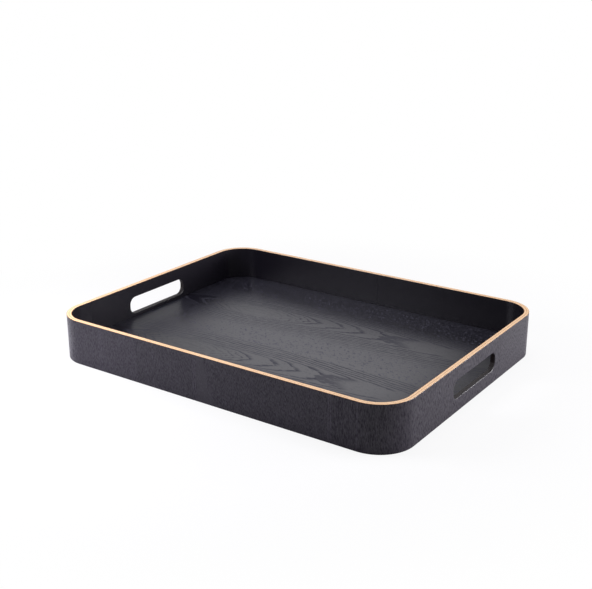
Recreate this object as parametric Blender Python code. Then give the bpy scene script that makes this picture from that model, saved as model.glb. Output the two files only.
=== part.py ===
"""A butler's tray: a low bent-plywood wall round a flat plywood base, with a handle slot through each short end.

The wall is a hoop on edge, five plies thick. Each of its three core plies is a pair of bent halves, and its two
faces are veneer leaves laid edge to edge, with every joint clear of the joints in the plies beside it. A groove
near the wall's foot holds the base, which stands clear of the table. The length lies along X, and the origin is
on the table under the tray's centre.
"""
import math

import bmesh
import bpy
from mathutils import Vector

MM = 0.001
QUARTER_TURN = math.pi / 2
HALF_TURN = math.pi

# The tray outside
TRAY_LENGTH = 430 * MM
TRAY_WIDTH = 330 * MM
WALL_HEIGHT = 50 * MM
CORNER_RADIUS = 38.5 * MM

# Sheets and glue lines of the wall, and the joints between sheets laid edge to edge
FACE_VENEER = 0.55 * MM
LONG_PLY = 1.3 * MM
CROSS_PLY = 1.2 * MM
GLUE_LINE = 0.15 * MM
EDGE_JOINT = 0.15 * MM

# Handle slots, one in each short end
SLOT_LENGTH = 96 * MM
SLOT_HEIGHT = 20 * MM
SLOT_CORNER = 8.5 * MM
SLOT_ABOVE_TABLE = 15 * MM
SLOT_EASE = 0.45 * MM

# The base, and the groove that holds its edge
FLOOR_ABOVE_TABLE = 10.5 * MM
BASE_VENEER = 0.55 * MM
BASE_PLY = 0.75 * MM
BASE_PLY_COUNT = 3
GROOVE_DEPTH = 1.6 * MM
GROOVE_PLAY = 0.15 * MM
BASE_EDGE_PLAY = 0.3 * MM

# Rounded edges of the wall
RIM_EASE = 0.3 * MM
FOOT_EASE = 0.4 * MM

# Joints along the long sides, from the middle, as shares of half the straight run
OUTER_LEAF_SEAM_SHARE = -0.51
OUTER_LEAF_END_SHARE = 0.86
INNER_LEAF_SEAM_SHARE = -0.045
CORE_JOINT_SHARES = {"outer": -0.4, "cross": 0.12, "inner": 0.57}

# Joints across the short ends: one clear of the slot, one near the corners, and the base's two veneer seams
LEAF_SEAM_PAST_SLOT = 12 * MM
INNER_END_SEAM_SHARE = 0.87
BASE_SEAM_SHARES = (-0.21, 0.845)

# How finely round stretches are drawn, and how far cutters pass what they cut
CORNER_STEPS = 16
SLOT_STEPS = 6
EASE_STEPS = 2
OVERRUN = 5 * MM
SHARPEST_SMOOTH_ANGLE = math.radians(30)
FLAT_ANGLE = math.radians(1)
WELD_SHARE = 0.1

# Worked out from the sizes above
OUTER_CORE_DEPTH = FACE_VENEER + GLUE_LINE
CROSS_CORE_DEPTH = OUTER_CORE_DEPTH + LONG_PLY + GLUE_LINE
INNER_CORE_DEPTH = CROSS_CORE_DEPTH + CROSS_PLY + GLUE_LINE
INNER_LEAF_DEPTH = INNER_CORE_DEPTH + LONG_PLY + GLUE_LINE
WALL_THICKNESS = INNER_LEAF_DEPTH + FACE_VENEER
GROOVE_BOTTOM = WALL_THICKNESS - GROOVE_DEPTH
BASE_EDGE = GROOVE_BOTTOM + BASE_EDGE_PLAY
BASE_THICKNESS = 2 * BASE_VENEER + BASE_PLY_COUNT * BASE_PLY + (BASE_PLY_COUNT + 1) * GLUE_LINE
BASE_BOTTOM = FLOOR_ABOVE_TABLE - BASE_THICKNESS
GROOVE_LOW = BASE_BOTTOM - GROOVE_PLAY
GROOVE_HIGH = FLOOR_ABOVE_TABLE + GROOVE_PLAY
SLOT_MIDDLE = SLOT_ABOVE_TABLE + SLOT_HEIGHT / 2
LONG_SIDE_HALF_RUN = TRAY_LENGTH / 2 - CORNER_RADIUS
SHORT_END_HALF_RUN = TRAY_WIDTH / 2 - CORNER_RADIUS

# The hoop's four sides, in the order a run round the wall meets them
FRONT, RIGHT_END, BACK, LEFT_END = range(4)
SIDE_COUNT = 4

STAINED_OUTSIDE = (0.030, 0.028, 0.036)
STAINED_INSIDE = (0.018, 0.017, 0.024)
STAINED_FLOOR = (0.035, 0.036, 0.041)
PALE_PLY = (0.640, 0.450, 0.280)
BROWN_PLY = (0.400, 0.240, 0.130)
WALL_ROUGHNESS = 0.50
BASE_ROUGHNESS = 0.45


def clear_scene():
    """Removes whatever objects the scene already holds."""
    for thing in list(bpy.data.objects):
        bpy.data.objects.remove(thing, do_unlink=True)


def new_collection(name):
    """A collection linked to the scene."""
    collection = bpy.data.collections.new(name)
    bpy.context.scene.collection.children.link(collection)
    return collection


def wood_finish(name, colour, roughness):
    """One piece's finish: a plain wood colour."""
    finish = bpy.data.materials.new(name)
    finish.use_nodes = True
    finish.diffuse_color = (*colour, 1.0)
    shader = finish.node_tree.nodes["Principled BSDF"]
    shader.inputs["Base Color"].default_value = (*colour, 1.0)
    shader.inputs["Roughness"].default_value = roughness
    shader.inputs["Metallic"].default_value = 0.0
    return finish


def side_directions(side):
    """The direction of travel along one side of the hoop, and the direction out of it."""
    turn = side * QUARTER_TURN
    return Vector((math.cos(turn), math.sin(turn))), Vector((math.sin(turn), -math.cos(turn)))


def half_across(side):
    """How far the outside of one side lies from the tray's middle."""
    return (TRAY_WIDTH if side % 2 == FRONT else TRAY_LENGTH) / 2


def run_round(start, end):
    """Points on the wall's outer face from start to end, each with the direction out of the wall there.

    Start and end are each a side, and a distance past its middle. A run that passes the left end counts on, so
    that the front is met again as the fifth side.
    """
    stations = []
    for side, past_middle in (start, end):
        travel, outward = side_directions(side)
        stations.append((outward * half_across(side) + travel * past_middle, outward))
    corners = []
    for side in range(start[0], end[0]):
        travel, outward = side_directions(side)
        centre = outward * (half_across(side) - CORNER_RADIUS) + travel * (half_across(side + 1) - CORNER_RADIUS)
        for step in range(CORNER_STEPS + 1):
            turn = QUARTER_TURN * step / CORNER_STEPS
            lean = outward * math.cos(turn) + travel * math.sin(turn)
            corners.append((centre + lean * CORNER_RADIUS, lean))
    return stations[:1] + corners + stations[1:]


def arc(centre, radius, first_turn, steps):
    """A quarter circle of points, or the one point where the radius is nil."""
    if radius <= 0:
        return [Vector(centre)]
    turns = (first_turn + QUARTER_TURN * step / steps for step in range(steps + 1))
    return [Vector(centre) + radius * Vector((math.cos(turn), math.sin(turn))) for turn in turns]


def sheet_section(outer, inner, low, high, eases=(0, 0, 0, 0), groove=()):
    """A sheet's section in depth and height, with its four corners eased and any groove in its inner face.

    The eases are for the corners outer low, inner low, inner high and outer high.
    """
    outer_low, inner_low, inner_high, outer_high = eases
    points = arc((outer + outer_low, low + outer_low), outer_low, HALF_TURN, EASE_STEPS)
    points += arc((inner - inner_low, low + inner_low), inner_low, HALF_TURN + QUARTER_TURN, EASE_STEPS)
    points += [Vector(point) for point in groove]
    points += arc((inner - inner_high, high - inner_high), inner_high, 0, EASE_STEPS)
    points += arc((outer + outer_high, high - outer_high), outer_high, QUARTER_TURN, EASE_STEPS)
    return points


def solid_through(name, rings):
    """A closed mesh whose section is extruded through each ring of points in turn."""
    builder = bmesh.new()
    place = builder.verts.layers.int.new("place")
    first = [builder.verts.new(point) for point in rings[0]]
    for number, vertex in enumerate(first):
        vertex[place] = number
    start_face = end_face = builder.faces.new(first)
    for ring in rings[1:]:
        passed_face = end_face
        grown = bmesh.ops.extrude_face_region(builder, geom=[passed_face])
        end_face = next(item for item in grown["geom"] if isinstance(item, bmesh.types.BMFace))
        for vertex in end_face.verts:
            vertex.co = ring[vertex[place]]
        if passed_face is not start_face:
            bmesh.ops.delete(builder, geom=[passed_face], context="FACES_ONLY")
    bmesh.ops.recalc_face_normals(builder, faces=builder.faces)
    mesh = bpy.data.meshes.new(name)
    builder.to_mesh(mesh)
    builder.free()
    return mesh


def bent_sheet(name, section, start, end):
    """A mesh of one sheet on edge, its section carried round the wall between two joints."""
    start = (start[0], start[1] + EDGE_JOINT / 2)
    end = (end[0], end[1] - EDGE_JOINT / 2)
    rings = []
    for point, outward in run_round(start, end):
        rings.append([(*(point - outward * depth), height) for depth, height in section])
    return solid_through(name, rings)


def slot_ring(distance, growth):
    """The slot's outline at a distance along the tray, grown all round."""
    half_length = SLOT_LENGTH / 2 - SLOT_CORNER
    half_height = SLOT_HEIGHT / 2 - SLOT_CORNER
    centres = ((half_length, half_height), (-half_length, half_height),
               (-half_length, -half_height), (half_length, -half_height))
    outline = []
    for corner, centre in enumerate(centres):
        outline += arc(centre, SLOT_CORNER + growth, QUARTER_TURN * corner, SLOT_STEPS)
    return [(distance, across, SLOT_MIDDLE + up) for across, up in outline]


def slot_cutter(collection):
    """The tool that opens both slots at once and rounds their mouths on both faces of the wall."""
    outside = TRAY_LENGTH / 2
    inside = outside - WALL_THICKNESS
    mouth = []
    for step in range(EASE_STEPS + 1):
        turn = QUARTER_TURN * step / EASE_STEPS
        mouth.append((SLOT_EASE * (1 - math.cos(turn)), SLOT_EASE * (1 - math.sin(turn))))
    profile = [(inside + depth, growth) for depth, growth in mouth]
    profile += [(outside - depth, growth) for depth, growth in reversed(mouth)]
    profile.append((outside + OVERRUN, SLOT_EASE))
    rings = [slot_ring(-distance, growth) for distance, growth in reversed(profile)]
    rings += [slot_ring(distance, growth) for distance, growth in profile]
    cutter = bpy.data.objects.new("slot_cutter", solid_through("slot_cutter", rings))
    cutter.hide_render = True
    cutter.display_type = "WIRE"
    collection.objects.link(cutter)
    return cutter


def add_piece(collection, name, mesh, cutter=None):
    """Puts a mesh in the tray as one piece, cut by the slots where it crosses them."""
    piece = bpy.data.objects.new(name, mesh)
    collection.objects.link(piece)
    if cutter:
        cut = piece.modifiers.new("handle_slot", "BOOLEAN")
        cut.operation = "DIFFERENCE"
        cut.solver = "EXACT"
        cut.object = cutter
    return piece


def add_wall_pair(collection, names, section, start, end, colour, cutter=None):
    """Adds a bent sheet, and its twin half a turn round the tray."""
    mesh = bent_sheet(names[0], section, start, end)
    mesh.materials.append(wood_finish(names[0] + "_finish", colour, WALL_ROUGHNESS))
    mesh.shade_smooth()
    mesh.set_sharp_from_angle(angle=SHARPEST_SMOOTH_ANGLE)
    add_piece(collection, names[0], mesh, cutter)
    twin = add_piece(collection, names[1], mesh, cutter)
    twin.rotation_euler.z = HALF_TURN


def wall_faces(collection, cutter):
    """The veneer leaves of the wall: three and their twins outside, and as many inside above and below the groove."""
    past_slot = SLOT_LENGTH / 2 + LEAF_SEAM_PAST_SLOT
    seam = LONG_SIDE_HALF_RUN * OUTER_LEAF_SEAM_SHARE
    seam_end = LONG_SIDE_HALF_RUN * OUTER_LEAF_END_SHARE
    outside = sheet_section(0, FACE_VENEER, 0, WALL_HEIGHT, (FOOT_EASE, 0, 0, RIM_EASE))
    leaves = (
        ("outer_veneer_front", "outer_veneer_back", (FRONT, seam), (FRONT, seam_end), None),
        ("outer_veneer_right_end", "outer_veneer_left_end", (FRONT, seam_end), (RIGHT_END, past_slot), cutter),
        ("outer_veneer_back_right", "outer_veneer_front_left", (RIGHT_END, past_slot), (BACK, seam), None),
    )
    for name, twin_name, start, end, leaf_cutter in leaves:
        add_wall_pair(collection, (name, twin_name), outside, start, end, STAINED_OUTSIDE, leaf_cutter)

    seam = LONG_SIDE_HALF_RUN * INNER_LEAF_SEAM_SHARE
    near_corner = SHORT_END_HALF_RUN * INNER_END_SEAM_SHARE
    above = sheet_section(INNER_LEAF_DEPTH, WALL_THICKNESS, GROOVE_HIGH, WALL_HEIGHT, (0, 0, RIM_EASE, 0))
    below = sheet_section(INNER_LEAF_DEPTH, WALL_THICKNESS, 0, GROOVE_LOW, (0, FOOT_EASE, 0, 0))
    leaves = (
        ("front_right", "back_left", (FRONT, seam), (RIGHT_END, -near_corner), None),
        ("right_end", "left_end", (RIGHT_END, -near_corner), (RIGHT_END, near_corner), cutter),
        ("back_right", "front_left", (RIGHT_END, near_corner), (BACK, seam), None),
    )
    for place, twin_place, start, end, leaf_cutter in leaves:
        names = ("inner_veneer_" + place, "inner_veneer_" + twin_place)
        add_wall_pair(collection, names, above, start, end, STAINED_INSIDE, leaf_cutter)
        names = ("foot_veneer_" + place, "foot_veneer_" + twin_place)
        add_wall_pair(collection, names, below, start, end, STAINED_INSIDE)


def wall_cores(collection, cutter):
    """The three core plies of the wall, each in two bent halves that meet on the long sides."""
    groove = ((INNER_CORE_DEPTH + LONG_PLY, GROOVE_LOW), (GROOVE_BOTTOM, GROOVE_LOW),
              (GROOVE_BOTTOM, GROOVE_HIGH), (INNER_CORE_DEPTH + LONG_PLY, GROOVE_HIGH))
    plies = (
        ("outer", OUTER_CORE_DEPTH, LONG_PLY, (), PALE_PLY),
        ("cross", CROSS_CORE_DEPTH, CROSS_PLY, (), BROWN_PLY),
        ("inner", INNER_CORE_DEPTH, LONG_PLY, groove, PALE_PLY),
    )
    for place, depth, thickness, cut, colour in plies:
        joint = LONG_SIDE_HALF_RUN * CORE_JOINT_SHARES[place]
        section = sheet_section(depth, depth + thickness, 0, WALL_HEIGHT, groove=cut)
        names = (place + "_core_right", place + "_core_left")
        add_wall_pair(collection, names, section, (FRONT, joint), (BACK, joint), colour, cutter)


def base_outline(front_seam=None, back_seam=None):
    """The plan of a sheet of the base, whole or between two seams that run along the tray."""
    if front_seam is None and back_seam is None:
        stations = run_round((FRONT, 0), (FRONT + SIDE_COUNT, 0))[:-1]
    elif front_seam is None:
        stations = run_round((LEFT_END, -back_seam), (RIGHT_END + SIDE_COUNT, back_seam))
    elif back_seam is None:
        stations = run_round((RIGHT_END, front_seam), (LEFT_END, -front_seam))
    else:
        stations = run_round((RIGHT_END, front_seam), (RIGHT_END, back_seam))
        stations += run_round((LEFT_END, -back_seam), (LEFT_END, -front_seam))
    return [point - outward * BASE_EDGE for point, outward in stations]


def add_flat_sheet(collection, name, outline, low, thickness, colour):
    """Adds a flat sheet of the base: its plan as a filled outline, raised to its thickness."""
    drawing = bpy.data.curves.new(name + "_outline", "CURVE")
    drawing.dimensions = "2D"
    drawing.fill_mode = "BOTH"
    drawing.extrude = thickness / 2
    spline = drawing.splines.new("POLY")
    spline.points.add(len(outline) - 1)
    spline.use_cyclic_u = True
    for control, point in zip(spline.points, outline):
        control.co = (*point, 0, 1)
    drawn = bpy.data.objects.new(name + "_outline", drawing)
    drawn.location.z = low + thickness / 2
    collection.objects.link(drawn)
    graph = bpy.context.evaluated_depsgraph_get()
    mesh = bpy.data.meshes.new_from_object(drawn.evaluated_get(graph))
    mesh.name = name
    builder = bmesh.new()
    builder.from_mesh(mesh)
    bmesh.ops.remove_doubles(builder, verts=builder.verts, dist=thickness * WELD_SHARE)
    bmesh.ops.dissolve_limit(builder, angle_limit=FLAT_ANGLE, verts=builder.verts, edges=builder.edges)
    bmesh.ops.recalc_face_normals(builder, faces=builder.faces)
    builder.to_mesh(mesh)
    builder.free()
    mesh.materials.clear()
    mesh.materials.append(wood_finish(name + "_finish", colour, BASE_ROUGHNESS))
    piece = add_piece(collection, name, mesh)
    piece.matrix_world = drawn.matrix_world
    bpy.data.objects.remove(drawn, do_unlink=True)


def base_sheets(collection):
    """The base: a face of veneer leaves, the plies under it, and a face of leaves below."""
    seams = [SHORT_END_HALF_RUN * share for share in BASE_SEAM_SHARES]
    half_joint = EDGE_JOINT / 2
    leaves = (
        ("front", None, seams[0] - half_joint),
        ("middle", seams[0] + half_joint, seams[1] - half_joint),
        ("back", seams[1] + half_joint, None),
    )
    for place, front_seam, back_seam in leaves:
        outline = base_outline(front_seam, back_seam)
        low = FLOOR_ABOVE_TABLE - BASE_VENEER
        add_flat_sheet(collection, "floor_veneer_" + place, outline, low, BASE_VENEER, STAINED_FLOOR)
        add_flat_sheet(collection, "under_veneer_" + place, outline, BASE_BOTTOM, BASE_VENEER, STAINED_FLOOR)
    whole = base_outline()
    low = BASE_BOTTOM + BASE_VENEER + GLUE_LINE
    for number in range(BASE_PLY_COUNT):
        colour = BROWN_PLY if number % 2 else PALE_PLY
        add_flat_sheet(collection, f"base_ply_{number + 1}", whole, low, BASE_PLY, colour)
        low += BASE_PLY + GLUE_LINE


def build_tray():
    """Builds every piece of the tray."""
    clear_scene()
    tray = new_collection("butlers_tray")
    cutters = new_collection("cutters")
    cutter = slot_cutter(cutters)
    wall_cores(tray, cutter)
    wall_faces(tray, cutter)
    base_sheets(tray)


build_tray()
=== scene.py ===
"""Finishes, glue, stage floor, lamps and camera for the black-stained butler's tray.

Lengths are metres, +Z is up, and the tray is one rigid body.
"""

import math

import bpy
from mathutils import Matrix, Vector


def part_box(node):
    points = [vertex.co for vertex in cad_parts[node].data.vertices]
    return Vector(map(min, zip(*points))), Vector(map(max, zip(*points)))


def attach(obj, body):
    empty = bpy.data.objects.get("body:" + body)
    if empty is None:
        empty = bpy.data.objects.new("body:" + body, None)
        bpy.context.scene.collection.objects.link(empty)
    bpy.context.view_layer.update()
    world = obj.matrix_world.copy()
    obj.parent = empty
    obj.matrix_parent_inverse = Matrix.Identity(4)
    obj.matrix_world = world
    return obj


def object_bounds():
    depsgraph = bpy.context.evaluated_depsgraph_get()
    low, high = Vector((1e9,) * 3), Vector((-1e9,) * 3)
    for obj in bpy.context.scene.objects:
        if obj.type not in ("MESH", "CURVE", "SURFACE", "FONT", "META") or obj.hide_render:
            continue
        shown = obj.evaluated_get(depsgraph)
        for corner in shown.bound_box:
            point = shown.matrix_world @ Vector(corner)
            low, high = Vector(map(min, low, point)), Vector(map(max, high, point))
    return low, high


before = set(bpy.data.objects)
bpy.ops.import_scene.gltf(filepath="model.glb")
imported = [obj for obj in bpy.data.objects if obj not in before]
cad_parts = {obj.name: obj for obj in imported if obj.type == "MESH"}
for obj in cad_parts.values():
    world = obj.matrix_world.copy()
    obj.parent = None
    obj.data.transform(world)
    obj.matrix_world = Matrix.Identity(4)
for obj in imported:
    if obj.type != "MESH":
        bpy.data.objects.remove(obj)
bpy.context.view_layer.update()
CAD_LOW, CAD_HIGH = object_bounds()

MM = 0.001

# Sizes of the tray, read from the frame.
RIM_TOP = CAD_HIGH.z
OUTSIDE_X = CAD_HIGH.x
OUTSIDE_Y = CAD_HIGH.y
TRAY_LENGTH = CAD_HIGH.x - CAD_LOW.x

# The camera stands in front of the right corner and looks down at the tray.
CAMERA_AZIMUTH = 34.693
CAMERA_ELEVATION = 19.257
CAMERA_DISTANCE = 1.3280
CAMERA_TARGET = Vector((-0.11348, 0.15899, 0.0))
CAMERA_LENS = 61.835
CAMERA_SENSOR = 36.0

# Colours of wood and stain, as linear red, green and blue.
BLACK_STAIN = (0.0052, 0.0042, 0.0068, 1.0)
BLACK_STAIN_THIN = (0.0256, 0.0219, 0.0306, 1.0)
FLOOR_STAIN = (0.0032, 0.0028, 0.0062, 1.0)
FLOOR_STAIN_THIN = (0.0430, 0.0430, 0.0530, 1.0)
FLOOR_PORE_DOTS = (0.0680, 0.0670, 0.0830, 1.0)
INSIDE_STAIN = (0.0070, 0.0063, 0.0092, 1.0)
INSIDE_STAIN_THIN = (0.0088, 0.0077, 0.0112, 1.0)
PLY_PALE = (0.95, 0.670, 0.390, 1.0)
PLY_WARM = (0.86, 0.545, 0.285, 1.0)
PLY_END_GRAIN = (0.84, 0.555, 0.32, 1.0)
PLY_END_GRAIN_DARK = (0.56, 0.310, 0.145, 1.0)
VENEER_EDGE = (0.72, 0.42, 0.21, 1.0)
VENEER_EDGE_DARK = (0.42, 0.215, 0.095, 1.0)
GLUE_BROWN = (0.60, 0.345, 0.165, 1.0)
WHITE = (1.0, 1.0, 1.0, 1.0)

# Wood under the lacquer, and how far down the rim was sanded bare, with less lacquer left on its veneers.
WOOD_ROUGHNESS = 0.60
BARE_RIM_DEPTH = 0.12 * MM
LACQUER_OFF_BARE = -0.45


# Helpers for shader trees.
def add_node(tree, kind, feeds=None, **options):
    """Adds a node, sets its options, and gives each named input a value or a link."""
    node = tree.nodes.new(kind)
    for name, value in options.items():
        setattr(node, name, value)
    for name, value in (feeds or {}).items():
        feed_socket(tree, node.inputs[name], value)
    return node


def feed_socket(tree, socket, value):
    """Links a socket to another one, or sets it to a plain value."""
    if isinstance(value, bpy.types.NodeSocket):
        tree.links.new(value, socket)
    else:
        socket.default_value = value


def calculate(tree, operation, *values, clamp=False):
    """One math node; returns its result."""
    node = add_node(tree, "ShaderNodeMath", operation=operation, use_clamp=clamp)
    for index, value in enumerate(values):
        feed_socket(tree, node.inputs[index], value)
    return node.outputs["Value"]


def combine_vectors(tree, operation, first, second):
    """One vector math node, such as ADD or MULTIPLY part by part; returns its result."""
    node = add_node(tree, "ShaderNodeVectorMath", {0: first, 1: second}, operation=operation)
    return node.outputs["Vector"]


def split_vector(tree, vector):
    """The three parts of a vector, by the names X, Y and Z."""
    return add_node(tree, "ShaderNodeSeparateXYZ", {"Vector": vector}).outputs


def join_vector(tree, x, y, z):
    """A vector made of three numbers."""
    return add_node(tree, "ShaderNodeCombineXYZ", {"X": x, "Y": y, "Z": z}).outputs["Vector"]


def ramp_between(tree, value, low, high, to_low=0.0, to_high=1.0):
    """Follows a value smoothly from one level to another."""
    node = add_node(
        tree, "ShaderNodeMapRange",
        {"Value": value, "From Min": low, "From Max": high, "To Min": to_low, "To Max": to_high},
        interpolation_type="SMOOTHSTEP")
    return node.outputs["Result"]


def blend_colours(tree, share, first, second):
    """The first colour where the share is 0 and the second where it is 1."""
    node = add_node(tree, "ShaderNodeMix", {"Factor": share}, data_type="RGBA")
    colour_inputs = [socket for socket in node.inputs if socket.type == "RGBA"]
    feed_socket(tree, colour_inputs[0], first)
    feed_socket(tree, colour_inputs[1], second)
    return [socket for socket in node.outputs if socket.type == "RGBA"][0]


def noise(tree, vector, scale, detail=2.0, rough=0.5):
    """Soft noise about a middle of 0.5."""
    node = add_node(
        tree, "ShaderNodeTexNoise", {"Vector": vector, "Scale": scale, "Detail": detail, "Roughness": rough})
    return node.outputs["Fac"]


def follow_curve(tree, value, points, low, high):
    """A smooth curve through given points of (place, height), over the range from low to high."""
    heights = [height for place, height in points]
    bottom = min(heights)
    span = max(heights) - bottom
    node = tree.nodes.new("ShaderNodeFloatCurve")
    curve = node.mapping.curves[0]
    spots = [((place - low) / (high - low), (height - bottom) / span) for place, height in sorted(points)]
    curve.points[0].location = spots[0]
    curve.points[1].location = spots[-1]
    for at, rise in spots[1:-1]:
        curve.points.new(at, rise)
    node.mapping.update()
    share = calculate(tree, "DIVIDE", calculate(tree, "SUBTRACT", value, low), high - low, clamp=True)
    tree.links.new(share, node.inputs["Value"])
    return calculate(tree, "MULTIPLY_ADD", node.outputs["Value"], span, bottom)


def new_group(name, inputs, outputs):
    """A shader node group with named number, vector and colour sockets."""
    group = bpy.data.node_groups.new(name, "ShaderNodeTree")
    kinds = {"number": "NodeSocketFloat", "vector": "NodeSocketVector", "colour": "NodeSocketColor"}
    for label, kind, default in inputs:
        socket = group.interface.new_socket(label, in_out="INPUT", socket_type=kinds[kind])
        if default is not None:
            socket.default_value = default
    for label, kind in outputs:
        group.interface.new_socket(label, in_out="OUTPUT", socket_type=kinds[kind])
    entry = group.nodes.new("NodeGroupInput")
    leave = group.nodes.new("NodeGroupOutput")
    return group, entry.outputs, leave.inputs


def place_group(tree, group, feeds):
    """Puts a node group into a tree, feeds its inputs, and returns its outputs."""
    node = add_node(tree, "ShaderNodeGroup", node_tree=group)
    for name, value in feeds.items():
        feed_socket(tree, node.inputs[name], value)
    return node.outputs


# Open pores, shared by all veneers.
def make_open_pores():
    """Fine open pores: short dashes along the grain, and the slow unevenness of the wood between them.

    The place comes in with its third part along the grain. The pattern leans a little out of its
    own axes, so that the dashes don't line up in rows.
    """
    lean_x_to_y = 0.37
    lean_y_to_z = 0.29
    lean_x_to_z = 0.41
    noise_roughness = 0.55
    mottle_scale = 0.30
    level_without_pores = 0.66
    level_fall_with_coverage = 0.26
    unevenness_height = -0.6
    group, given, result = new_group(
        "open_pores",
        [("Place", "vector", None), ("Pore width", "number", 1.0 * MM), ("Pore length", "number", 6.0 * MM),
         ("Coverage", "number", 0.5), ("Softness", "number", 0.10)],
        [("Pores", "number"), ("Mottle", "number"), ("Height", "number")])
    across = calculate(group, "DIVIDE", 1.0, given["Pore width"])
    along = calculate(group, "DIVIDE", 1.0, given["Pore length"])
    factors = join_vector(group, across, across, along)
    cells = split_vector(group, combine_vectors(group, "MULTIPLY", given["Place"], factors))
    second = calculate(group, "MULTIPLY_ADD", cells["X"], lean_x_to_y, cells["Y"])
    third = calculate(group, "MULTIPLY_ADD", cells["Y"], lean_y_to_z, cells["Z"])
    third = calculate(group, "MULTIPLY_ADD", cells["X"], lean_x_to_z, third)
    leaning = join_vector(group, cells["X"], second, third)
    fine = noise(group, leaning, 1.0, rough=noise_roughness)
    mottle = noise(group, leaning, mottle_scale, rough=noise_roughness)
    covered = calculate(group, "MULTIPLY", given["Coverage"], level_fall_with_coverage)
    edge_low = calculate(group, "SUBTRACT", level_without_pores, covered)
    edge_high = calculate(group, "ADD", edge_low, given["Softness"])
    pores = ramp_between(group, fine, edge_low, edge_high)
    sunk = calculate(group, "MULTIPLY", pores, -1.0)
    height = calculate(group, "MULTIPLY_ADD", fine, unevenness_height, sunk)
    group.links.new(pores, result["Pores"])
    group.links.new(mottle, result["Mottle"])
    group.links.new(height, result["Height"])
    return group


# The crown figure of the floor. Lengths in its three lists are mm.
# The heart line: distance from the tray's left end, and how far it bends towards the back.
HEART_LINE = [(0, -12), (60, -13), (100, -12), (150, -8), (190, -4), (230, 0), (300, 1), (430, 1)]
# The rings' arms: distance off the heart line, and how far the arm has drawn to the right there.
ARM_REACH = [(0, 0), (4, 6), (12, 20), (15, 33), (18, 60), (22, 100), (26, 140), (50, 380), (90, 780)]
# Where each ring starts, measured along the heart line.
RING_STARTS = [
    110, 128, 141, 153, 166, 178, 190, 200, 230, 255, 290, 335, 378, 420,
    462, 505, 548, 592, 636, 680, 726, 772, 820, 870, 920, 970, 1020]


def make_crown_figure():
    """The rings of a crown-cut leaf: long loops round its heart line, whose arms close in points.

    Early is 1 in the porous early wood of each ring, and Plain is 1 far from the heart, where the
    rings run together into even pores.
    """
    plain_from = 32.0 * MM
    plain_to = 58.0 * MM
    wander_scale = (45.0, 160.0, 1.0)
    group, given, result = new_group(
        "crown_figure",
        [("Place", "vector", None), ("Heart", "number", 0.0)],
        [("Early", "number"), ("Plain", "number")])
    parts = split_vector(group, given["Place"])
    from_left = calculate(group, "ADD", parts["X"], OUTSIDE_X)
    wander_place = combine_vectors(group, "MULTIPLY", given["Place"], wander_scale)
    wander = calculate(group, "SUBTRACT", noise(group, wander_place, 1.0, detail=3.0), 0.5)
    off_heart = measure_off_heart(group, from_left, parts["Y"], given["Heart"], wander)
    reach = measure_reach(group, from_left, off_heart, wander)
    plain = ramp_between(group, off_heart, plain_from, plain_to)
    early = draw_early_wood(group, reach, off_heart, plain)
    group.links.new(add_heart_lens(group, early, from_left, off_heart), result["Early"])
    group.links.new(plain, result["Plain"])
    return group


def measure_off_heart(group, from_left, across, leaf_heart, wander):
    """Distance of a place from its leaf's heart line, a little uneven."""
    wander_width = 3.0 * MM
    heart_points = [(at * MM, bend * MM) for at, bend in HEART_LINE]
    bend = follow_curve(group, from_left, heart_points, 0.0, TRAY_LENGTH)
    off_heart = calculate(group, "SUBTRACT", across, calculate(group, "ADD", leaf_heart, bend))
    off_heart = calculate(group, "ABSOLUTE", off_heart)
    return calculate(group, "MULTIPLY_ADD", wander, wander_width, off_heart)


def measure_reach(group, from_left, off_heart, wander):
    """Where the ring through a place crosses the heart line; rings fold back left of their middle."""
    fold_middle = 115.0 * MM
    fold_radius = 20.0 * MM
    wander_length = 14.0 * MM
    arm_points = [(off * MM, drawn * MM) for off, drawn in ARM_REACH]
    arm = follow_curve(group, off_heart, arm_points, 0.0, arm_points[-1][0])
    from_middle = calculate(group, "SUBTRACT", from_left, fold_middle)
    squared = calculate(group, "MULTIPLY_ADD", from_middle, from_middle, fold_radius * fold_radius)
    folded = calculate(group, "ADD", calculate(group, "SQRT", squared), fold_middle)
    reach = calculate(group, "ADD", folded, arm)
    return calculate(group, "MULTIPLY_ADD", wander, wander_length, reach)


def draw_early_wood(group, reach, off_heart, plain):
    """1 in the early wood that opens each ring, weaker at the left end and where the rings run together."""
    rise_end = 0.06
    fall_start = 0.10
    fall_end_at_heart = 0.42
    fall_end_in_arms = 0.68
    arms_from = 12.0 * MM
    arms_to = 17.0 * MM
    fade_in_plain = -0.75
    weak_until = 140 * MM
    full_from = 200 * MM
    weak_share = 0.25
    ring_points = [(start * MM, count) for count, start in enumerate(RING_STARTS)]
    rings = follow_curve(group, reach, ring_points, ring_points[0][0], ring_points[-1][0])
    phase = calculate(group, "FRACT", rings)
    rise = ramp_between(group, phase, 0.0, rise_end)
    fall_end = ramp_between(group, off_heart, arms_from, arms_to, fall_end_at_heart, fall_end_in_arms)
    fall = ramp_between(group, phase, fall_start, fall_end, 1.0, 0.0)
    faded = calculate(group, "MULTIPLY_ADD", plain, fade_in_plain, 1.0)
    settled = ramp_between(group, reach, weak_until, full_from, weak_share, 1.0)
    band = calculate(group, "MULTIPLY", rise, fall)
    return calculate(group, "MULTIPLY", band, calculate(group, "MULTIPLY", faded, settled))


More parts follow.
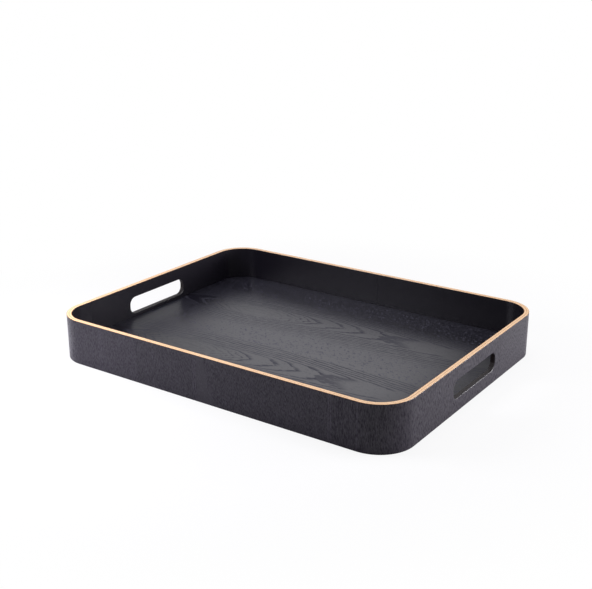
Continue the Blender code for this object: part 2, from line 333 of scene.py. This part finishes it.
def add_heart_lens(group, early, from_left, off_heart):
    """Clears the rings from the long smooth lens at the right of the heart line, whose point is porous."""
    lens_point = 276 * MM
    point_edge = 4 * MM
    point_slope = -1.25
    lens_half_width = 11.0 * MM
    side_edge = 2.0 * MM
    pores_full_until = 296 * MM
    pores_end = 318 * MM
    pores_share = 0.75
    from_point = calculate(group, "MULTIPLY_ADD", off_heart, point_slope, from_left)
    past_point = ramp_between(group, from_point, lens_point, lens_point + point_edge)
    near_heart = ramp_between(group, off_heart, lens_half_width, lens_half_width + side_edge, 1.0, 0.0)
    in_lens = calculate(group, "MULTIPLY", past_point, near_heart)
    lens_pores = ramp_between(group, from_point, pores_full_until, pores_end, pores_share, 0.0)
    outside_lens = calculate(group, "MULTIPLY", early, calculate(group, "SUBTRACT", 1.0, in_lens))
    return calculate(group, "MULTIPLY_ADD", in_lens, lens_pores, outside_lens)


# The front wall's figure. Pale upright lines, in mm from the tray's left end.
PALE_LINES = [71, 73.5, 147, 201, 203.5, 361.5, 364, 392]


def make_wall_figure():
    """Figure of the front wall's upright veneer: pale lines, and one close-grained band without pores."""
    front_until = -150 * MM
    front_end = -140 * MM
    group, given, result = new_group(
        "wall_figure", [("Place", "vector", None)], [("Light lines", "number"), ("Close grain", "number")])
    parts = split_vector(group, given["Place"])
    from_left = calculate(group, "ADD", parts["X"], OUTSIDE_X)
    in_front = ramp_between(group, parts["Y"], front_until, front_end, 1.0, 0.0)
    lines = draw_pale_lines(group, given["Place"], from_left)
    band = draw_close_grain(group, given["Place"], parts["Z"], from_left)
    group.links.new(calculate(group, "MULTIPLY", lines, in_front), result["Light lines"])
    group.links.new(calculate(group, "MULTIPLY", band, in_front), result["Close grain"])
    return group


def draw_pale_lines(group, place, from_left):
    """1 on the pale lines, which come and go along their height."""
    line_core = 0.3 * MM
    line_edge = 1.0 * MM
    break_scale = 140.0
    break_from = 0.35
    break_to = 0.60
    lines = 0.0
    for at in PALE_LINES:
        away = calculate(group, "ABSOLUTE", calculate(group, "SUBTRACT", from_left, at * MM))
        lines = calculate(group, "MAXIMUM", lines, ramp_between(group, away, line_core, line_edge, 1.0, 0.0))
    broken = ramp_between(group, noise(group, place, break_scale), break_from, break_to)
    return calculate(group, "MULTIPLY", lines, broken)


def draw_close_grain(group, place, height, from_left):
    """1 in a narrow upright band, whose right edge is ragged and leans to the right downwards."""
    left_edge = 204.0 * MM
    left_soft = 2.5 * MM
    right_edge_at_rim = 206.0 * MM
    right_lean = 0.30
    ragged_width = 14.0 * MM
    ragged_scale = 260.0
    stretch_upright = (1.0, 1.0, 0.3)
    soft_before = -2.0 * MM
    soft_after = 1.0 * MM
    stretched = combine_vectors(group, "MULTIPLY", place, stretch_upright)
    ragged = noise(group, stretched, ragged_scale, detail=3.0)
    below_rim = calculate(group, "SUBTRACT", RIM_TOP, height)
    leaning = calculate(group, "MULTIPLY_ADD", below_rim, right_lean, right_edge_at_rim)
    right_edge = calculate(group, "MULTIPLY_ADD", ragged, ragged_width, leaning)
    past_left = ramp_between(group, from_left, left_edge, left_edge + left_soft)
    past_right = calculate(group, "SUBTRACT", from_left, right_edge)
    before_right = ramp_between(group, past_right, soft_before, soft_after, 1.0, 0.0)
    return calculate(group, "MULTIPLY", past_left, before_right)


# Sanded wood of the rim, shared by the veneers and the plies.
def make_bare_edge():
    """1 where the wall's top edge was sanded back to bare wood after staining, 0 below it."""
    ragged_scale = 600.0
    ragged_depth = 0.10 * MM
    edge_width = 0.03 * MM
    upward_from = 0.30
    upward_to = 0.80
    group, given, result = new_group("bare_edge", [("Place", "vector", None)], [("Bare", "number")])
    ragged = noise(group, given["Place"], ragged_scale)
    mean_start = RIM_TOP - BARE_RIM_DEPTH
    start = calculate(group, "MULTIPLY_ADD", ragged, ragged_depth, mean_start - ragged_depth / 2)
    above = calculate(group, "SUBTRACT", split_vector(group, given["Place"])["Z"], start)
    normal = group.nodes.new("ShaderNodeNewGeometry").outputs["Normal"]
    upward = ramp_between(group, split_vector(group, normal)["Z"], upward_from, upward_to)
    bare = calculate(group, "MULTIPLY", upward, ramp_between(group, above, 0.0, edge_width))
    group.links.new(bare, result["Bare"])
    return group


def make_sanded_edge():
    """Colour of the bare wood on the rim: fine streaks or end-grain dots between two browns."""
    dots_from = 0.42
    dots_to = 0.66
    drift_scale = 26.0
    drift_low = 0.35
    drift_share = 0.6
    group, given, result = new_group(
        "sanded_edge",
        [("Place", "vector", None), ("Light", "colour", None), ("Dark", "colour", None),
         ("Dot size", "number", 0.9 * MM), ("Dots", "number", 0.5)],
        [("Colour", "colour"), ("Height", "number")])
    dot_scale = calculate(group, "DIVIDE", 1.0, given["Dot size"])
    fine = noise(group, given["Place"], dot_scale, rough=0.6)
    dots = ramp_between(group, fine, dots_from, dots_to)
    drift = calculate(group, "SUBTRACT", noise(group, given["Place"], drift_scale), drift_low)
    drift = calculate(group, "MULTIPLY", drift, drift_share)
    share = calculate(group, "MULTIPLY_ADD", dots, given["Dots"], drift, clamp=True)
    group.links.new(blend_colours(group, share, given["Light"], given["Dark"]), result["Colour"])
    group.links.new(fine, result["Height"])
    return group


# Painted shade: less lacquer sheen near the floor's two short ends, which darkens the floor beside the end
# walls.
def make_painted_end_shade():
    """Painted shade: share of lacquer sheen along the floor, 1 in the middle and less towards both short
    ends, which darkens them.
    """
    shade_from = 130 * MM
    darkest_at = 209 * MM
    left_share = 0.62
    right_share = 0.60
    group, given, result = new_group("end_shade_sheen", [("Place", "vector", None)], [("Lacquer", "number")])
    along = split_vector(group, given["Place"])["X"]
    at_right = ramp_between(group, along, shade_from, darkest_at, 1.0, right_share)
    at_left = ramp_between(group, along, -darkest_at, -shade_from, left_share, 1.0)
    group.links.new(calculate(group, "MULTIPLY", at_left, at_right), result["Lacquer"])
    return group


OPEN_PORES = make_open_pores()
CROWN_FIGURE = make_crown_figure()
WALL_FIGURE = make_wall_figure()
BARE_EDGE = make_bare_edge()
SANDED_EDGE = make_sanded_edge()
PAINTED_END_SHADE = make_painted_end_shade()


# Finishes.
def new_material(name):
    """A material with its shader tree, its shader, and the place in the tray's own space."""
    material = bpy.data.materials.new(name)
    material.use_nodes = True
    tree = material.node_tree
    shader = tree.nodes["Principled BSDF"]
    place = tree.nodes.new("ShaderNodeTexCoord").outputs["Object"]
    return material, tree, shader, place


def sink_into(tree, shader, height, depth):
    """Bump from a height field, whose full step is the depth given."""
    bump = add_node(tree, "ShaderNodeBump", {"Height": height, "Strength": 1.0, "Distance": depth})
    tree.links.new(bump.outputs["Normal"], shader.inputs["Normal"])


def lay_lacquer(shader, depth_ior, roughness):
    """A clear lacquer film over matt wood, which reflects nothing itself."""
    shader.inputs["Roughness"].default_value = WOOD_ROUGHNESS
    shader.inputs["Specular IOR Level"].default_value = 0.0
    shader.inputs["Coat IOR"].default_value = depth_ior
    shader.inputs["Coat Roughness"].default_value = roughness


def outer_veneer(name, slide, thin_stain_and_light, pore_length, openness):
    """Black-stained wall face outside: upright open pores that break a satin lacquer.

    The slide sets where in the pore pattern the leaf lies; the thin share how far its stain has rubbed
    through, together with painted light on the front leaves; and openness how much of the lacquer its pores
    take away.
    """
    fleck_slide = (0.2, 0.1, 0.3)
    mottle_share = 0.4
    mottle_middle = 0.25
    line_share = 0.9
    fleck_share = 0.35
    close_grain_share = -0.8
    material, tree, shader, place = new_material(name)
    lay_lacquer(shader, depth_ior=1.36, roughness=0.32)
    leaf_place = combine_vectors(tree, "ADD", place, slide)
    figure = place_group(tree, WALL_FIGURE, {"Place": place})
    pores = place_group(tree, OPEN_PORES, {
        "Place": leaf_place,
        "Pore width": 0.9 * MM, "Pore length": pore_length, "Coverage": 0.88, "Softness": 0.24})
    flecks = place_group(tree, OPEN_PORES, {
        "Place": combine_vectors(tree, "ADD", leaf_place, fleck_slide),
        "Pore width": 1.5 * MM, "Pore length": 2.3 * MM, "Coverage": 0.75, "Softness": 0.18})
    bare = place_group(tree, BARE_EDGE, {"Place": place})["Bare"]
    edge = place_group(tree, SANDED_EDGE, {
        "Place": place, "Light": VENEER_EDGE, "Dark": VENEER_EDGE_DARK, "Dots": 0.7})
    # On the front leaves the thin share also holds painted light, which lightens their stain.
    thin = calculate(tree, "MULTIPLY_ADD", pores["Mottle"], mottle_share, thin_stain_and_light - mottle_middle)
    thin = calculate(tree, "MULTIPLY_ADD", figure["Light lines"], line_share, thin)
    thin = calculate(tree, "MULTIPLY_ADD", flecks["Pores"], fleck_share, thin, clamp=True)
    stain = blend_colours(tree, thin, BLACK_STAIN, BLACK_STAIN_THIN)
    tree.links.new(blend_colours(tree, bare, stain, edge["Colour"]), shader.inputs["Base Color"])
    grained = calculate(tree, "MULTIPLY_ADD", figure["Close grain"], close_grain_share, 1.0)
    opened = calculate(tree, "MULTIPLY", pores["Pores"], grained)
    film = calculate(tree, "MULTIPLY_ADD", opened, -openness, 1.0)
    film = calculate(tree, "MULTIPLY_ADD", bare, LACQUER_OFF_BARE, film)
    tree.links.new(film, shader.inputs["Coat Weight"])
    height = calculate(tree, "MULTIPLY", pores["Height"], grained)
    sink_into(tree, shader, height, depth=0.06 * MM)
    return material


def inner_veneer(name, slide):
    """Black-stained wall face inside: close-grained and smooth."""
    material, tree, shader, place = new_material(name)
    lay_lacquer(shader, depth_ior=1.31, roughness=0.25)
    pores = place_group(tree, OPEN_PORES, {
        "Place": combine_vectors(tree, "ADD", place, slide),
        "Pore width": 3.0 * MM, "Pore length": 40.0 * MM, "Coverage": 0.35})
    bare = place_group(tree, BARE_EDGE, {"Place": place})["Bare"]
    edge = place_group(tree, SANDED_EDGE, {
        "Place": place, "Light": VENEER_EDGE, "Dark": VENEER_EDGE_DARK, "Dots": 0.5})
    stain = blend_colours(tree, pores["Mottle"], INSIDE_STAIN, INSIDE_STAIN_THIN)
    tree.links.new(blend_colours(tree, bare, stain, edge["Colour"]), shader.inputs["Base Color"])
    film = calculate(tree, "MULTIPLY_ADD", bare, LACQUER_OFF_BARE, 1.0)
    tree.links.new(film, shader.inputs["Coat Weight"])
    sink_into(tree, shader, pores["Height"], depth=0.01 * MM)
    return material


def floor_veneer(name, heart, slide, lacquer_roughness):
    """Black-stained crown-cut leaf with its grain along X, for the floor and the underside.

    The heart is the place of its heart line across the tray.
    """
    coarse_slide = (0.4, 0.0, 0.2)
    dots_near_heart = 0.25
    dots_in_plain = 0.75
    lacquer_off_pores = -0.85
    unevenness_share = 0.3
    material, tree, shader, place = new_material(name)
    lay_lacquer(shader, depth_ior=1.39, roughness=lacquer_roughness)
    figure = place_group(tree, CROWN_FIGURE, {"Place": place, "Heart": heart})
    parts = split_vector(tree, combine_vectors(tree, "ADD", place, slide))
    grain_place = join_vector(tree, parts["Y"], parts["Z"], parts["X"])
    fine = place_group(tree, OPEN_PORES, {
        "Place": grain_place,
        "Pore width": 3.2 * MM, "Pore length": 3.2 * MM, "Coverage": 0.33, "Softness": 0.07})
    coarse = place_group(tree, OPEN_PORES, {
        "Place": combine_vectors(tree, "ADD", grain_place, coarse_slide),
        "Pore width": 1.9 * MM, "Pore length": 11.0 * MM, "Coverage": 1.25})
    ring_pores = calculate(tree, "MULTIPLY", figure["Early"], coarse["Pores"])
    dot_share = calculate(tree, "MULTIPLY_ADD", figure["Plain"], dots_in_plain, dots_near_heart)
    dots = calculate(tree, "MULTIPLY", fine["Pores"], dot_share)
    pores = calculate(tree, "MAXIMUM", ring_pores, dots)
    in_pores = blend_colours(tree, figure["Plain"], FLOOR_STAIN_THIN, FLOOR_PORE_DOTS)
    tree.links.new(blend_colours(tree, pores, FLOOR_STAIN, in_pores), shader.inputs["Base Color"])
    film = calculate(tree, "MULTIPLY_ADD", pores, lacquer_off_pores, 1.0)
    # Painted shade: the floor's lacquer sheen falls off towards both short ends.
    sheen_after_end_shade = place_group(tree, PAINTED_END_SHADE, {"Place": place})["Lacquer"]
    tree.links.new(calculate(tree, "MULTIPLY", film, sheen_after_end_shade), shader.inputs["Coat Weight"])
    sunk = calculate(tree, "MULTIPLY", pores, -1.0)
    height = calculate(tree, "MULTIPLY_ADD", fine["Height"], unevenness_share, sunk)
    sink_into(tree, shader, height, depth=0.12 * MM)
    return material


def core_ply(name, light, dark, dot_size, dots):
    """A wall or base ply: bare on the rim, black-stained in the slots and along the foot."""
    wood_through_stain = 0.010
    film_on_stain = 0.40
    film_more_on_bare = 0.15
    material, tree, shader, place = new_material(name)
    lay_lacquer(shader, depth_ior=1.45, roughness=0.35)
    bare = place_group(tree, BARE_EDGE, {"Place": place})["Bare"]
    edge = place_group(tree, SANDED_EDGE, {
        "Place": place, "Light": light, "Dark": dark, "Dot size": dot_size, "Dots": dots})
    soaked = blend_colours(tree, wood_through_stain, BLACK_STAIN, edge["Colour"])
    tree.links.new(blend_colours(tree, bare, soaked, edge["Colour"]), shader.inputs["Base Color"])
    film = calculate(tree, "MULTIPLY_ADD", bare, film_more_on_bare, film_on_stain)
    tree.links.new(film, shader.inputs["Coat Weight"])
    sink_into(tree, shader, edge["Height"], depth=0.03 * MM)
    return material


# The leaves. A slide, in metres, moves a leaf through the pore pattern, so that no two leaves look alike.
OUTER_LEAF_SLIDES = {
    "front": (0.0, 0.0, 0.0),
    "back": (0.31, 0.07, 0.11),
    "right_end": (0.73, 0.17, 0.05),
    "left_end": (0.41, 0.53, 0.23),
    "back_right": (0.19, 0.61, 0.37),
    "front_left": (0.87, 0.29, 0.43),
}
INNER_LEAF_SLIDES = {
    "front_right": (0.13, 0.13, 0.0),
    "back_left": (0.37, 0.37, 0.0),
    "right_end": (0.59, 0.59, 0.0),
    "left_end": (0.83, 0.83, 0.0),
    "back_right": (0.97, 0.97, 0.0),
    "front_left": (1.21, 1.21, 0.0),
}
UNDER_LEAF_SLIDE_ALONG = 0.5

# How thin the stain is on the outer leaves, and the length and openness of their pores. On the front leaves
# the stain is paler still as painted light, which brightens the front wall, most at its left end.
THIN_STAIN_AND_FRONT_LIGHT = {"front": 0.50, "front_left": 0.65}
USUAL_THIN_SHARE = 0.45
STREAKED_LEAVES = ("right_end", "left_end")
STREAKED_PORES = (4.4 * MM, 0.76)
SHORT_PORES = (2.6 * MM, 0.60)

# Heart lines across the tray. The floor's leaves repeat one crown; the leaves below lie a little off it.
MIDDLE_HEART = 68.0 * MM
LEAF_REPEAT = 133.0 * MM
FLOOR_HEARTS = {
    "front": MIDDLE_HEART - LEAF_REPEAT,
    "middle": MIDDLE_HEART,
    "back": MIDDLE_HEART + LEAF_REPEAT,
}
UNDER_HEART_STEP = 30.0 * MM
FLOOR_LACQUER_ROUGHNESS = 0.34
UNDER_LACQUER_ROUGHNESS = 0.5

# Shading of bent faces.
WELD_DISTANCE = 0.001 * MM
CREASE_ANGLE = 14.0


def give_finish(node_name, material):
    """Puts a finish on a node of the frame and shades its bent faces smooth."""
    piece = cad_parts[node_name]
    piece.material_slots[0].material = material
    smooth_bends(piece)


def smooth_bends(piece):
    """Rounds the shading of bent faces and keeps sharp edges sharp."""
    mesh = piece.data
    if mesh.has_custom_normals:
        mesh.attributes.remove(mesh.attributes["custom_normal"])
    mesh.polygons.foreach_set("use_smooth", [True] * len(mesh.polygons))
    weld = piece.modifiers.new("weld", "WELD")
    weld.merge_threshold = WELD_DISTANCE
    creases = piece.modifiers.new("creases", "EDGE_SPLIT")
    creases.split_angle = math.radians(CREASE_ANGLE)
    creases.use_edge_sharp = False


def veneer_finish(node_name):
    """The finish of one veneer leaf; each leaf has its own."""
    sheet, leaf = node_name.split("_veneer_")
    name = "finish_" + node_name
    if sheet == "outer":
        pore_length, openness = STREAKED_PORES if leaf in STREAKED_LEAVES else SHORT_PORES
        thin_stain_and_light = THIN_STAIN_AND_FRONT_LIGHT.get(leaf, USUAL_THIN_SHARE)
        return outer_veneer(name, OUTER_LEAF_SLIDES[leaf], thin_stain_and_light, pore_length, openness)
    if sheet in ("inner", "foot"):
        return inner_veneer(name, INNER_LEAF_SLIDES[leaf])
    heart = FLOOR_HEARTS[leaf]
    if sheet == "floor":
        return floor_veneer(name, heart, (0.0, -heart, 0.0), FLOOR_LACQUER_ROUGHNESS)
    slide = (UNDER_LEAF_SLIDE_ALONG, -heart, 0.0)
    return floor_veneer(name, heart + UNDER_HEART_STEP, slide, UNDER_LACQUER_ROUGHNESS)


def finish_tray():
    """Gives every piece of the model its finish."""
    long_ply = core_ply("pale_long_ply", PLY_PALE, PLY_WARM, dot_size=1.6 * MM, dots=0.35)
    cross_ply = core_ply("brown_cross_ply", PLY_END_GRAIN, PLY_END_GRAIN_DARK, dot_size=0.8 * MM, dots=0.9)
    for node_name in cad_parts:
        if "_veneer_" in node_name:
            give_finish(node_name, veneer_finish(node_name))
        elif "cross_core" in node_name or node_name == "base_ply_2":
            give_finish(node_name, cross_ply)
        else:
            give_finish(node_name, long_ply)


# Glue that fills the narrow joints: rings between the plies of the rim, and the floor's leaf joints.
# Each ring lies just outside the wall layer that is named for it.
LAYERS_INSIDE_GLUE = ("outer_core_right", "cross_core_right", "inner_core_right", "inner_veneer_right_end")
JOINT_WIDTH = 0.15 * MM
GLUE_DEPTH = 0.60 * MM
GLUE_SUNK = 0.01 * MM
GLUE_ROUGHNESS = 0.45
# The wall's own outer corner radius, and the steps that a ring takes round one corner.
CORNER_RADIUS = 38.5 * MM
CORNER_STEPS = 32


def glue_finish():
    """Dried brown glue."""
    material = bpy.data.materials.new("brown_glue")
    material.use_nodes = True
    shader = material.node_tree.nodes["Principled BSDF"]
    shader.inputs["Base Color"].default_value = GLUE_BROWN
    shader.inputs["Roughness"].default_value = GLUE_ROUGHNESS
    return material


def rounded_outline(inset):
    """Points round the tray's outline, moved in from its outside face."""
    radius = CORNER_RADIUS - inset
    points = []
    for turn, side_x, side_y in ((0, 1, 1), (90, -1, 1), (180, -1, -1), (270, 1, -1)):
        middle_x = side_x * (OUTSIDE_X - CORNER_RADIUS)
        middle_y = side_y * (OUTSIDE_Y - CORNER_RADIUS)
        for step in range(CORNER_STEPS + 1):
            angle = math.radians(turn + 90.0 * step / CORNER_STEPS)
            points.append((middle_x + radius * math.cos(angle), middle_y + radius * math.sin(angle)))
    return points


def add_piece(name, points, faces, material):
    """A mesh piece that rides on the tray."""
    mesh = bpy.data.meshes.new(name)
    mesh.from_pydata(points, [], faces)
    mesh.materials.append(material)
    piece = bpy.data.objects.new(name, mesh)
    bpy.context.scene.collection.objects.link(piece)
    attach(piece, "root")


def add_glue_ring(name, inset, material):
    """A closed ring of glue in the joint between two layers of the wall, just below the rim's top."""
    outer = rounded_outline(inset)
    inner = rounded_outline(inset + JOINT_WIDTH)
    top = RIM_TOP - GLUE_SUNK
    bottom = RIM_TOP - GLUE_DEPTH
    points = []
    for near, far in zip(outer, inner):
        points += [(*near, top), (*far, top), (*far, bottom), (*near, bottom)]
    count = len(outer)
    faces = []
    for step in range(count):
        here = 4 * step
        there = 4 * ((step + 1) % count)
        for corner in range(4):
            following = (corner + 1) % 4
            faces.append((here + corner, there + corner, there + following, here + following))
    add_piece(name, points, faces, material)


def add_floor_joint(name, front_leaf, back_leaf, material):
    """A strip of stained filler in the joint between two leaves of the floor."""
    front_low, front_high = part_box(front_leaf)
    back_low, back_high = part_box(back_leaf)
    left = max(front_low.x, back_low.x)
    right = min(front_high.x, back_high.x)
    near, far = front_high.y, back_low.y
    corners = ((left, near), (right, near), (right, far), (left, far))
    bottom, top = front_low.z, front_high.z - GLUE_SUNK
    points = [(x, y, z) for z in (bottom, top) for x, y in corners]
    faces = [(3, 2, 1, 0), (4, 5, 6, 7), (0, 1, 5, 4), (1, 2, 6, 5), (2, 3, 7, 6), (3, 0, 4, 7)]
    add_piece(name, points, faces, material)


def finish_of(node_name):
    """The finish that a node of the frame has been given."""
    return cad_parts[node_name].material_slots[0].material


def fill_joints():
    """Fills the rim's four glue lines and the floor's two leaf joints."""
    glue = glue_finish()
    for number, layer in enumerate(LAYERS_INSIDE_GLUE, start=1):
        inset = OUTSIDE_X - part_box(layer)[1].x - JOINT_WIDTH
        add_glue_ring("glue_ring_" + str(number), inset, glue)
    front, middle, back = "floor_veneer_front", "floor_veneer_middle", "floor_veneer_back"
    add_floor_joint("floor_joint_front", front, middle, finish_of(front))
    add_floor_joint("floor_joint_back", middle, back, finish_of(middle))


# The stage: a wide pale floor, white surroundings and soft lamps.
STAGE_SIZE = 60.0
STAGE_DROP = 0.05 * MM
STAGE_WHITE = (0.90, 0.90, 0.90, 1.0)
STAGE_SHADOW_SHARE = 0.15
STAGE_SHADOW_NEAR = 0.26
STAGE_SHADOW_FAR = 0.50
AMBIENT_LIGHT = 0.05
COOL_LIGHT = (0.985, 0.965, 1.075)
PLAIN_LIGHT = (1.0, 0.985, 1.0)
# Name, azimuth from the front towards the right, elevation, distance, width, height, power, tint.
LAMPS = [
    ("lamp_behind_low", -145.0, 20.0, 1.80, 0.60, 0.40, 0.35, COOL_LIGHT),
    ("lamp_behind_high", -150.0, 28.0, 1.80, 0.70, 0.26, 0.88, COOL_LIGHT),
    ("lamp_left_above", -110.0, 70.0, 1.80, 1.20, 0.70, 4.0, COOL_LIGHT),
    ("lamp_right_above", 100.0, 75.0, 1.20, 0.80, 0.80, 6.0, COOL_LIGHT),
    ("lamp_right_low", 120.0, 7.0, 1.60, 1.30, 0.36, 50.0, PLAIN_LIGHT),
    ("lamp_front_left", -42.0, 30.0, 0.60, 0.30, 0.20, 2.95, COOL_LIGHT),
]


def seen_or_mirrored(tree):
    """1 for what the camera sees, directly, in a reflection or through the work, and 0 for light."""
    rays = tree.nodes.new("ShaderNodeLightPath").outputs
    mirrored = calculate(tree, "MAXIMUM", rays["Is Glossy Ray"], rays["Is Transmission Ray"])
    return calculate(tree, "MAXIMUM", rays["Is Camera Ray"], mirrored)


def stage_floor_finish():
    """Shows as white. Near the tray some of its plain pale colour comes in, and with it the shadow."""
    material = bpy.data.materials.new("stage_floor_white")
    material.use_nodes = True
    tree = material.node_tree
    tree.nodes.clear()
    plain = add_node(tree, "ShaderNodeBsdfDiffuse", {"Color": STAGE_WHITE}).outputs["BSDF"]
    glow = add_node(tree, "ShaderNodeEmission", {"Color": WHITE, "Strength": 1.0}).outputs["Emission"]
    place = tree.nodes.new("ShaderNodeTexCoord").outputs["Object"]
    away = add_node(tree, "ShaderNodeVectorMath", {0: place}, operation="LENGTH").outputs["Value"]
    near = ramp_between(tree, away, STAGE_SHADOW_NEAR, STAGE_SHADOW_FAR, 1.0, 0.0)
    mirrored = tree.nodes.new("ShaderNodeLightPath").outputs["Is Glossy Ray"]
    share = calculate(tree, "MULTIPLY", near, calculate(tree, "MAXIMUM", mirrored, STAGE_SHADOW_SHARE))
    shown = add_node(tree, "ShaderNodeMixShader", {"Fac": share, 1: glow, 2: plain}).outputs["Shader"]
    mixed = add_node(tree, "ShaderNodeMixShader", {"Fac": seen_or_mirrored(tree), 1: plain, 2: shown})
    output = tree.nodes.new("ShaderNodeOutputMaterial")
    tree.links.new(mixed.outputs["Shader"], output.inputs["Surface"])
    return material


def add_stage_floor():
    """A wide pale floor just under the tray's foot."""
    bpy.ops.mesh.primitive_plane_add(size=STAGE_SIZE, location=(0.0, 0.0, -STAGE_DROP))
    floor = bpy.context.object
    floor.name = "stage_floor"
    floor.data.materials.append(stage_floor_finish())


def add_surroundings():
    """White surroundings: full white as seen and mirrored, dimmer as light."""
    world = bpy.data.worlds.new("white_surroundings")
    world.use_nodes = True
    tree = world.node_tree
    tree.nodes.clear()
    strength = calculate(tree, "MAXIMUM", seen_or_mirrored(tree), AMBIENT_LIGHT)
    light = add_node(tree, "ShaderNodeBackground", {"Color": WHITE, "Strength": strength})
    output = tree.nodes.new("ShaderNodeOutputWorld")
    tree.links.new(light.outputs["Background"], output.inputs["Surface"])
    bpy.context.scene.world = world


def direction_of(azimuth, elevation):
    """The way to a place seen from the tray; azimuth runs from the front, -Y, towards the right, +X."""
    turn = math.radians(azimuth)
    rise = math.radians(elevation)
    return Vector((math.sin(turn) * math.cos(rise), -math.cos(turn) * math.cos(rise), math.sin(rise)))


def facing_back(away, distance, target):
    """The placing of a lamp or camera that stands off from a target and looks at it."""
    return Matrix.Translation(target + away * distance) @ away.to_track_quat("Z", "Y").to_matrix().to_4x4()


def add_soft_lamp(name, azimuth, elevation, distance, width, height, power, tint):
    """A rectangular soft lamp that looks at the middle of the tray."""
    data = bpy.data.lights.new(name, "AREA")
    data.shape = "RECTANGLE"
    data.size = width
    data.size_y = height
    data.energy = power
    data.color = tint
    lamp = bpy.data.objects.new(name, data)
    lamp.matrix_world = facing_back(direction_of(azimuth, elevation), distance, Vector((0.0, 0.0, 0.0)))
    bpy.context.scene.collection.objects.link(lamp)


def add_lamps():
    """All the soft lamps of the table above."""
    for lamp in LAMPS:
        add_soft_lamp(*lamp)


def add_camera():
    """The camera of the photograph's view."""
    data = bpy.data.cameras.new("camera")
    data.lens = CAMERA_LENS
    data.sensor_width = CAMERA_SENSOR
    data.sensor_fit = "HORIZONTAL"
    camera = bpy.data.objects.new("camera", data)
    back = direction_of(CAMERA_AZIMUTH, CAMERA_ELEVATION)
    camera.matrix_world = facing_back(back, CAMERA_DISTANCE, CAMERA_TARGET)
    bpy.context.scene.collection.objects.link(camera)
    bpy.context.scene.camera = camera


def write_sizes():
    """Brings the scene up to date."""
    bpy.context.view_layer.update()


add_camera()
finish_tray()
fill_joints()
add_stage_floor()
add_surroundings()
add_lamps()
bpy.context.scene.view_settings.view_transform = "Standard"
write_sizes()
